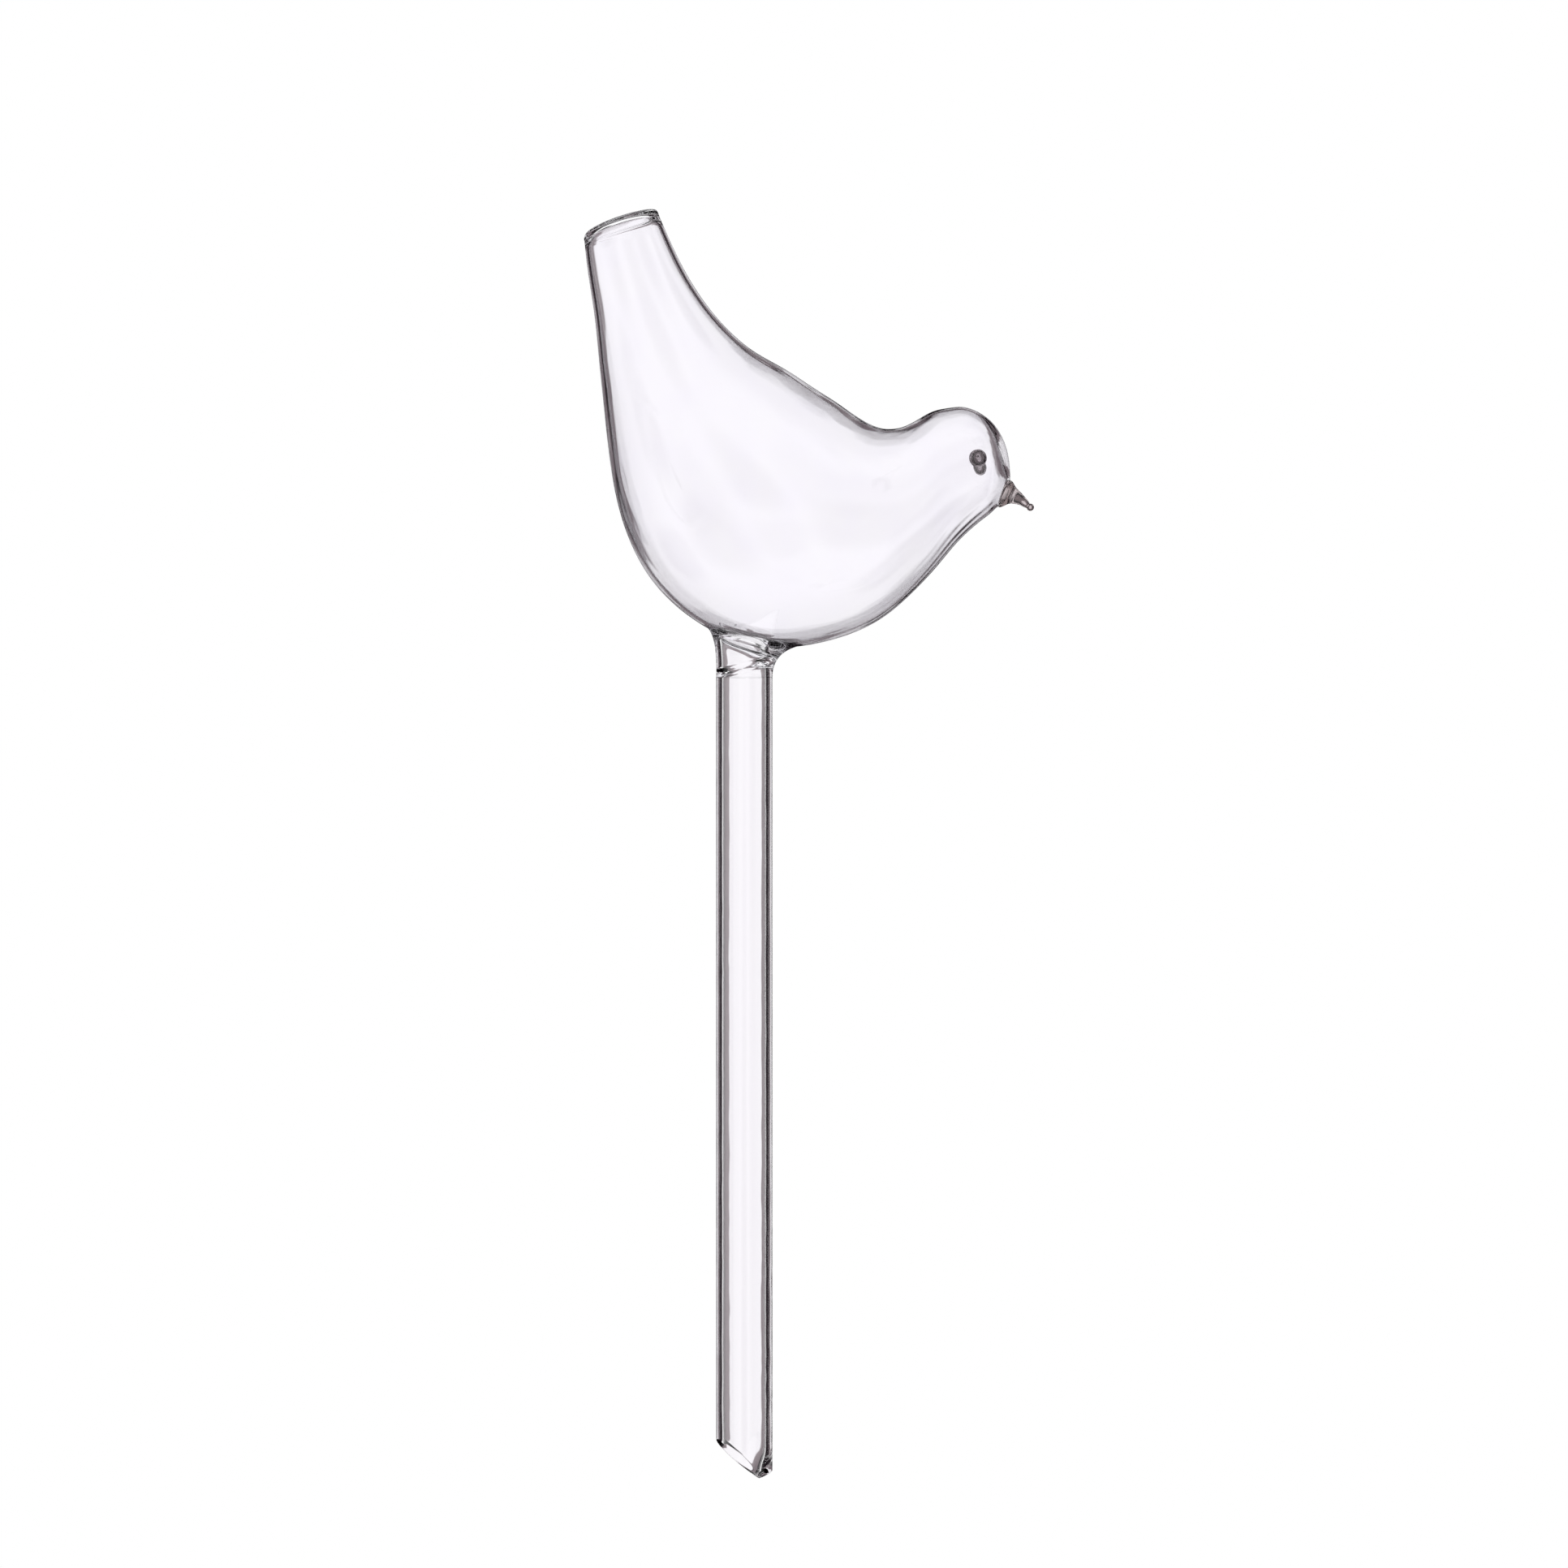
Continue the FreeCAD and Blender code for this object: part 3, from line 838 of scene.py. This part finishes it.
def wrapped_section(tree, given):
    """Which point of the section each corner of a grid stands for, and the way its column points."""
    counted = add_node(tree, "GeometryNodeAttributeDomainSize", {"Geometry": given["Section"]})
    size = counted.outputs["Point Count"]
    grid = add_node(tree, "GeometryNodeMeshGrid", {"Vertices X": given["Around"], "Vertices Y": size})
    index = add_node(tree, "GeometryNodeInputIndex").outputs[0]
    exact = add_node(tree, MATH, [index, size], operation="DIVIDE")
    column = add_node(tree, MATH, [exact.outputs[0]], operation="FLOOR")
    row = add_node(tree, MATH, [index, size], operation="MODULO")
    place = add_node(tree, "GeometryNodeInputPosition").outputs[0]
    sample = {"Geometry": given["Section"], "Value": place, "Index": row.outputs[0]}
    read = add_node(tree, "GeometryNodeSampleIndex", sample, data_type="FLOAT_VECTOR")
    part = add_node(tree, "ShaderNodeSeparateXYZ", [read.outputs[0]]).outputs
    gaps = add_node(tree, MATH, [given["Around"], 1.0], operation="SUBTRACT")
    share = add_node(tree, MATH, [column.outputs[0], gaps.outputs[0]], operation="DIVIDE")
    turn = add_node(tree, MATH, [share.outputs[0], 2 * math.pi], operation="MULTIPLY").outputs[0]
    forward = add_node(tree, MATH, [turn], operation="COSINE").outputs[0]
    sideways = add_node(tree, MATH, [turn], operation="SINE").outputs[0]
    return grid.outputs["Mesh"], part, forward, sideways


# %% The slanted end
def slanted_height(tree, given, part, forward):
    """The height of the cut below each point, and of the point itself."""
    x = add_node(tree, MATH, [part[0], forward], operation="MULTIPLY").outputs[0]
    past_heel = add_node(tree, MATH, [x, given["Outer Radius"]], operation="ADD").outputs[0]
    fall = add_node(tree, MATH, [past_heel, given["Slant"]], operation="MULTIPLY").outputs[0]
    past_tip = add_node(tree, MATH, [past_heel, given["Tip Reach"]], operation="SUBTRACT").outputs[0]
    deepest = add_node(tree, MATH, [given["Tip Reach"], given["Slant"]], operation="MULTIPLY").outputs[0]
    climb = add_node(tree, MATH, [past_tip, given["Tip Slope"]], operation="MULTIPLY").outputs[0]
    blunt = add_node(tree, MATH, [deepest, climb], operation="SUBTRACT").outputs[0]
    depth = add_node(tree, MATH, [fall, blunt, given["Tip Softness"]], operation="SMOOTH_MIN").outputs[0]
    rise = add_node(tree, MATH, [given["Top"], depth], operation="ADD").outputs[0]
    above = add_node(tree, MATH, [rise, part[1]], operation="MULTIPLY").outputs[0]
    on_cut = add_node(tree, MATH, [above, depth], operation="SUBTRACT").outputs[0]
    height = add_node(tree, MATH, [on_cut, part[2]], operation="ADD").outputs[0]
    return above, height


# %% The uneven bore
LOWER_END, LOWER_GAIN = 80 * MM, 2.0  # below this height the front of the bore ripples more
BORE_DEPTH_SHARE = 0.6  # points that lie deeper in the wall than this belong to the bore


def bore_shift(tree, given, part, forward, sideways, above, height):
    """How far the bore's points move: ripples, more at the lower front, and melted glass at the cut."""
    front = add_node(tree, MATH, [forward, 0.0], operation="MAXIMUM").outputs[0]
    rear = add_node(tree, MATH, [forward, 0.0], operation="MINIMUM").outputs[0]
    front = add_node(tree, MATH, [front, front], operation="MULTIPLY").outputs[0]
    rear = add_node(tree, MATH, [rear, rear], operation="MULTIPLY").outputs[0]
    along = add_node(tree, MATH, [height, given["Ripple Length"]], operation="DIVIDE").outputs[0]
    ring = add_node(tree, "ShaderNodeCombineXYZ", [forward, sideways, along]).outputs[0]
    ripple = add_node(tree, "ShaderNodeTexNoise", {"Vector": ring, "Scale": 1.0, "Detail": 2.0})
    swing = add_node(tree, MATH, [ripple.outputs["Fac"], 0.5], operation="SUBTRACT").outputs[0]
    lower = {"Value": height, "From Min": 0.0, "From Max": LOWER_END, "To Min": LOWER_GAIN, "To Max": 0.0}
    lower = add_node(tree, "ShaderNodeMapRange", lower).outputs[0]
    more = add_node(tree, MATH, [lower, front, 1.0], operation="MULTIPLY_ADD").outputs[0]
    depth = add_node(tree, MATH, [more, given["Ripple Depth"]], operation="MULTIPLY").outputs[0]
    wave = add_node(tree, MATH, [swing, depth], operation="MULTIPLY").outputs[0]
    reach = add_node(tree, MATH, [above, given["Gather Length"]], operation="DIVIDE").outputs[0]
    squared = add_node(tree, MATH, [reach, reach], operation="MULTIPLY").outputs[0]
    falling = add_node(tree, MATH, [squared, -1.0], operation="MULTIPLY").outputs[0]
    near = add_node(tree, MATH, [falling], operation="EXPONENT").outputs[0]
    tip = add_node(tree, MATH, [front, given["Tip Gather"]], operation="MULTIPLY").outputs[0]
    both = add_node(tree, MATH, [rear, given["Heel Gather"], tip], operation="MULTIPLY_ADD").outputs[0]
    gather = add_node(tree, MATH, [near, both], operation="MULTIPLY").outputs[0]
    shift = add_node(tree, MATH, [wave, gather], operation="SUBTRACT").outputs[0]
    within = [given["Wall"], -BORE_DEPTH_SHARE, given["Outer Radius"]]
    edge = add_node(tree, MATH, within, operation="MULTIPLY_ADD").outputs[0]
    inside = add_node(tree, MATH, [part[0], edge], operation="LESS_THAN").outputs[0]
    return add_node(tree, MATH, [shift, inside], operation="MULTIPLY").outputs[0]


# %% Put the tube's tree together
SEAM_GAP = 0.002 * MM  # the first and the last column meet, and points nearer than this are merged


def tube_tree():
    """A Geometry Nodes tree that carries a wall section round the axis."""
    tree = bpy.data.node_groups.new("drawn_tube", "GeometryNodeTree")
    given = tube_inputs(tree)
    grid, part, forward, sideways = wrapped_section(tree, given)
    above, height = slanted_height(tree, given, part, forward)
    shift = bore_shift(tree, given, part, forward, sideways, above, height)
    radius = add_node(tree, MATH, [part[0], shift], operation="ADD").outputs[0]
    x = add_node(tree, MATH, [radius, forward], operation="MULTIPLY").outputs[0]
    y = add_node(tree, MATH, [radius, sideways], operation="MULTIPLY").outputs[0]
    place = add_node(tree, "ShaderNodeCombineXYZ", [x, y, height]).outputs[0]
    moved = add_node(tree, "GeometryNodeSetPosition", {"Geometry": grid, "Position": place})
    close = {"Geometry": moved.outputs[0], "Distance": SEAM_GAP}
    joined = add_node(tree, "GeometryNodeMergeByDistance", close)
    real = add_node(tree, "GeometryNodeRealizeInstances", {"Geometry": joined.outputs[0]})
    glass = {"Geometry": real.outputs[0], "Material": given["Material"]}
    coated = add_node(tree, "GeometryNodeSetMaterial", glass)
    add_node(tree, "NodeGroupOutput", {"Geometry": coated.outputs[0]})
    return tree


drawn_tube = tube_tree()
print("nodes in the tube's tree:", len(drawn_tube.nodes))


# %% From nodes to a plain mesh
def plain_mesh(name, source, tree, inputs):
    """Runs a tree on a mesh with its named inputs and returns the result as a plain mesh."""
    holder = put_in_scene(name, source)
    run = holder.modifiers.new(name, "NODES")
    run.node_group = tree
    sockets = {item.name: item.identifier for item in tree.interface.items_tree if item.in_out == "INPUT"}
    for label, value in inputs.items():
        run[sockets[label]] = value
    ready = holder.evaluated_get(bpy.context.evaluated_depsgraph_get())
    mesh = bpy.data.meshes.new_from_object(ready)
    bpy.data.objects.remove(holder)
    return mesh


stem_mesh = plain_mesh("stem_tube_build", section_mesh, drawn_tube, {"Material": tube_glass})
print("faces of the tube while its top is open:", len(stem_mesh.polygons))


def close_top(mesh):
    """Closes the ring between bore and outside at the tube's upper end, where the weld is fused on."""
    sheet = bmesh.new()
    sheet.from_mesh(mesh)
    open_edges = [edge for edge in sheet.edges if edge.is_boundary]
    for face in bmesh.ops.bridge_loops(sheet, edges=open_edges)["faces"]:
        face.material_index = FUSED_SEAM
    sheet.to_mesh(mesh)
    sheet.free()


close_top(stem_mesh)
stem_glass = finished_piece("stem_tube_glass", stem_mesh)

# %% [markdown]
# ## Dressing the pieces
# Each piece takes its glass, rides with the one rigid body and stands in for its solid.

# %% Ride, replace and slot
DRESSING = (
    (bird_body, "bird_body", blown_glass, "blown_glass"),
    (tail_glass, "tail_cap", blown_glass, "blown_glass"),
    (weld_glass, "neck_weld", tube_glass, "tube_glass"),
    (stem_glass, "stem_tube", tube_glass, "tube_glass"),
    (beak_glass, "beak", drop_glass, "drawn_glass"),
    (right_bead, "right_eye", eye_glass, "eye_glass"),
    (left_bead, "left_eye", eye_glass, "eye_glass"),
)
for piece, node, material, slot in DRESSING:
    piece.data.materials.clear()
    piece.data.materials.append(material)
    piece.data.materials.append(fused_seam)
    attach(piece, "root")
    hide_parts(node)
print("pieces dressed:", len(DRESSING))

# %% [markdown]
# ## The studio
# Clear glass has no colour of its own: it shows what stands behind and beside it. A photographer lights it
# with a bright wall straight behind and dark cards beside it, so that the middle of the glass stays clear
# and its edges, which bend the light most, turn dark. Real panels in the scene would stand in the way of
# other views, so the world draws them, and only for rays that have been through glass or off it. Away from
# the wall there is a bright room with a few soft dark and grey cards, which keep the glass's outlines.

# %% What stands around the glass
LIT_WALL = "#fefcff"
GREY_CLOTH = ("#8d8286", "#7d7277")  # beside the wall, and further out
BLACK_CARD = "#241d22"
GREY_CARD = "#5a5257"
FARTHEST = 90  # degrees from the wall at which the stops end
WALL_STOPS = (  # degrees from the middle of the wall, and what stands there
    (0, LIT_WALL),
    (11.5, LIT_WALL),
    (13, GREY_CLOTH[0]),
    (25, GREY_CLOTH[1]),
    (27.5, BLACK_CARD),
    (52.5, BLACK_CARD),
    (57, WHITE),
    (FARTHEST, WHITE),
)
WALL_MIDDLE = math.radians(-3)  # from +Y towards +X, straight behind the object as the camera sees it
WALL_TALL = math.radians(8)  # half of its straight height between its rounded ends
WALL_RISE = math.radians(3)
END_SQUEEZE = 1.3  # above and below, everything around the wall is narrower by this
PATCHES = (  # degrees from +Y towards +X, degrees up, radius in degrees, softness in degrees, colour
    (-135, 0, 18, 12, GREY_CARD),
    (-90, 38, 18, 6, BLACK_CARD),
    (-90, -32, 14, 5, BLACK_CARD),
    (95, -15, 20, 6, BLACK_CARD),
    (175, -20, 15, 10, GREY_CARD),
    (135, 28, 20, 12, GREY_CARD),
    (-45, -25, 12, 1.5, WHITE),
)
print("stops out from the lit wall:", len(WALL_STOPS), "cards and windows:", len(PATCHES))


def lit_wall(tree, way):
    """The colour by the distance from the lit wall behind the object."""
    part = add_node(tree, "ShaderNodeSeparateXYZ", [way]).outputs
    azimuth = add_node(tree, MATH, [part[0], part[1]], operation="ARCTAN2").outputs[0]
    aside = add_node(tree, MATH, [azimuth, WALL_MIDDLE], operation="SUBTRACT").outputs[0]
    rise = add_node(tree, MATH, [part[2]], operation="ARCSINE").outputs[0]
    over = add_node(tree, MATH, [rise, WALL_RISE], operation="SUBTRACT").outputs[0]
    over = add_node(tree, MATH, [over], operation="ABSOLUTE").outputs[0]
    over = add_node(tree, MATH, [over, WALL_TALL], operation="SUBTRACT").outputs[0]
    over = add_node(tree, MATH, [over, 0.0], operation="MAXIMUM").outputs[0]
    over = add_node(tree, MATH, [over, END_SQUEEZE], operation="MULTIPLY").outputs[0]
    both = add_node(tree, "ShaderNodeCombineXYZ", [aside, over]).outputs[0]
    apart = add_node(tree, "ShaderNodeVectorMath", [both], operation="LENGTH").outputs["Value"]
    share = add_node(tree, MATH, [apart, math.radians(FARTHEST)], operation="DIVIDE").outputs[0]
    ramp = add_node(tree, "ShaderNodeValToRGB", [share])
    stops = ramp.color_ramp.elements
    for degrees, colour in WALL_STOPS[1:-1]:
        stops.new(degrees / FARTHEST).color = linear(colour)
    stops[0].color, stops[-1].color = linear(WALL_STOPS[0][1]), linear(WALL_STOPS[-1][1])
    return ramp.outputs[0]


def with_patches(tree, way, seen, patches):
    """Lays soft round patches, cards and windows, over what is seen."""
    for turn, up, reach, soft, colour in patches:
        turn, up = math.radians(turn), math.radians(up)
        toward = (math.sin(turn) * math.cos(up), math.cos(turn) * math.cos(up), math.sin(up))
        near = add_node(tree, "ShaderNodeVectorMath", [way, toward], operation="DOT_PRODUCT").outputs["Value"]
        outer_edge, inner_edge = (math.cos(math.radians(reach + side * soft)) for side in (1, -1))
        edge = {"Value": near, "From Min": outer_edge, "From Max": inner_edge}
        inside = add_node(tree, "ShaderNodeMapRange", edge, interpolation_type="SMOOTHSTEP").outputs[0]
        mix = {FACTOR: inside, COLOUR_A: seen, COLOUR_B: linear(colour)}
        seen = add_node(tree, "ShaderNodeMix", mix, data_type="RGBA").outputs[MIXED]
    return seen


# %% The studio's light
DARK_FROM, BRIGHT_FROM = 0.2, -0.3  # how far a direction points to the back, for what the glass reflects
ROOM_LIGHT = "#d8d8d8"  # what lights the floor


def studio_world():
    """A world that looks different to rays through the glass, rays off it and rays from the camera."""
    world = bpy.data.worlds.new("pale_studio")
    bpy.context.scene.world = world
    world.use_nodes = True
    tree = world.node_tree
    tree.nodes.clear()
    way = add_node(tree, "ShaderNodeTexCoord").outputs["Generated"]
    through = with_patches(tree, way, lit_wall(tree, way), PATCHES)
    # Off the glass: a bright room behind the camera, and a dark one beyond the object.
    toward = add_node(tree, "ShaderNodeSeparateXYZ", [way]).outputs[1]
    edge = {"Value": toward, "From Min": DARK_FROM, "From Max": BRIGHT_FROM}
    room = add_node(tree, "ShaderNodeMapRange", edge, interpolation_type="SMOOTHSTEP").outputs[0]
    mix = {FACTOR: room, COLOUR_A: linear(BLACK_CARD), COLOUR_B: linear(WHITE)}
    off = add_node(tree, "ShaderNodeMix", mix, data_type="RGBA").outputs[MIXED]
    rays = add_node(tree, "ShaderNodeLightPath").outputs
    seen = linear(ROOM_LIGHT)
    views = (("Is Glossy Ray", off), ("Is Transmission Ray", through), ("Is Camera Ray", linear(WHITE)))
    for kind, view in views:
        mix = {FACTOR: rays[kind], COLOUR_A: seen, COLOUR_B: view}
        seen = add_node(tree, "ShaderNodeMix", mix, data_type="RGBA").outputs[MIXED]
    light = add_node(tree, "ShaderNodeBackground", {"Color": seen, "Strength": 1.0})
    add_node(tree, "ShaderNodeOutputWorld", {"Surface": light.outputs[0]})
    print("nodes in the world:", len(tree.nodes))


studio_world()

# %% [markdown]
# ## Lamps and floor
# Three soft lamps light the floor and give the soft shadow. They are hidden from rays through the glass or
# off it, in which their square faces would show. The floor lies well below the tube, because the globe is
# held up by soil in use. A shadow catcher would need a picture behind it, so the floor is a plain disc of
# pale paper that turns to the white of the background with distance and keeps the shadow.

# %% Soft lamps
LAMPS = (  # name, place in m, size in m, power in W
    ("key_softbox", (-0.5, -0.7, 0.75), 0.35, 4.0),
    ("fill_softbox", (0.8, -0.4, 0.4), 0.4, 2.0),
    ("top_softbox", (0.1, 0.2, 1.0), 0.4, 3.0),
)
for name, place, size, power in LAMPS:
    lamp_data = bpy.data.lights.new(name, "AREA")
    lamp_data.size = size
    lamp_data.energy = power
    lamp = put_in_scene(name, lamp_data)
    lamp.location = place
    lamp.rotation_euler = (Vector(place) - MIDDLE_OF_VIEW).to_track_quat("Z", "Y").to_euler()
    lamp.visible_glossy = False
    lamp.visible_transmission = False
print("lamps:", len(LAMPS))

# %% The floor
FLOOR_HEIGHT = -0.17  # m
FLOOR_RADIUS = 4.0  # m
FLOOR_SIDES = 64
FADE_START, FADE_END = 0.15, 0.6  # m from the tube's axis
PALE_PAPER = "#f4f4f4"


def pale_floor():
    """A disc of matt paper that gives way to plain white, for the camera, with distance."""
    mesh = bpy.data.meshes.new("floor")
    shape = bmesh.new()
    bmesh.ops.create_circle(shape, cap_ends=True, segments=FLOOR_SIDES, radius=FLOOR_RADIUS)
    bmesh.ops.translate(shape, verts=shape.verts, vec=(0, 0, FLOOR_HEIGHT))
    shape.to_mesh(mesh)
    shape.free()
    floor = put_in_scene("floor", mesh)
    material, tree = bare_material("matt_white_paper")
    place = add_node(tree, "ShaderNodeTexCoord").outputs["Object"]
    flat = add_node(tree, "ShaderNodeVectorMath", {0: place, 1: (1, 1, 0)}, operation="MULTIPLY").outputs[0]
    distance = add_node(tree, "ShaderNodeVectorMath", {0: flat}, operation="LENGTH").outputs["Value"]
    edge = {"Value": distance, "From Min": FADE_START, "From Max": FADE_END}
    fade = add_node(tree, "ShaderNodeMapRange", edge, interpolation_type="SMOOTHSTEP")
    rays = add_node(tree, "ShaderNodeLightPath").outputs
    factors = {0: fade.outputs[0], 1: rays["Is Camera Ray"]}
    white = add_node(tree, MATH, factors, operation="MULTIPLY")
    paper = add_node(tree, "ShaderNodeBsdfDiffuse", {"Color": linear(PALE_PAPER)})
    glow = add_node(tree, "ShaderNodeEmission", {"Color": linear(WHITE), "Strength": 1.0})
    parts = {0: white.outputs[0], 1: paper.outputs[0], 2: glow.outputs[0]}
    both = add_node(tree, "ShaderNodeMixShader", parts)
    add_node(tree, "ShaderNodeOutputMaterial", {"Surface": both.outputs[0]})
    mesh.materials.append(material)
    floor.visible_transmission = False
    floor.visible_glossy = False
    print("floor below the origin in mm:", round(-FLOOR_HEIGHT / MM))


pale_floor()

# %% [markdown]
# ## Render settings
# Glass needs many bounces before a ray finds its way out.

# %% Finish
THROUGH_BOUNCES, MIRROR_BOUNCES = 32, 12
scene = bpy.context.scene
scene.view_settings.view_transform = "Standard"
scene.cycles.max_bounces = THROUGH_BOUNCES
scene.cycles.transmission_bounces = THROUGH_BOUNCES
scene.cycles.glossy_bounces = MIRROR_BOUNCES
scene.cycles.caustics_refractive = True
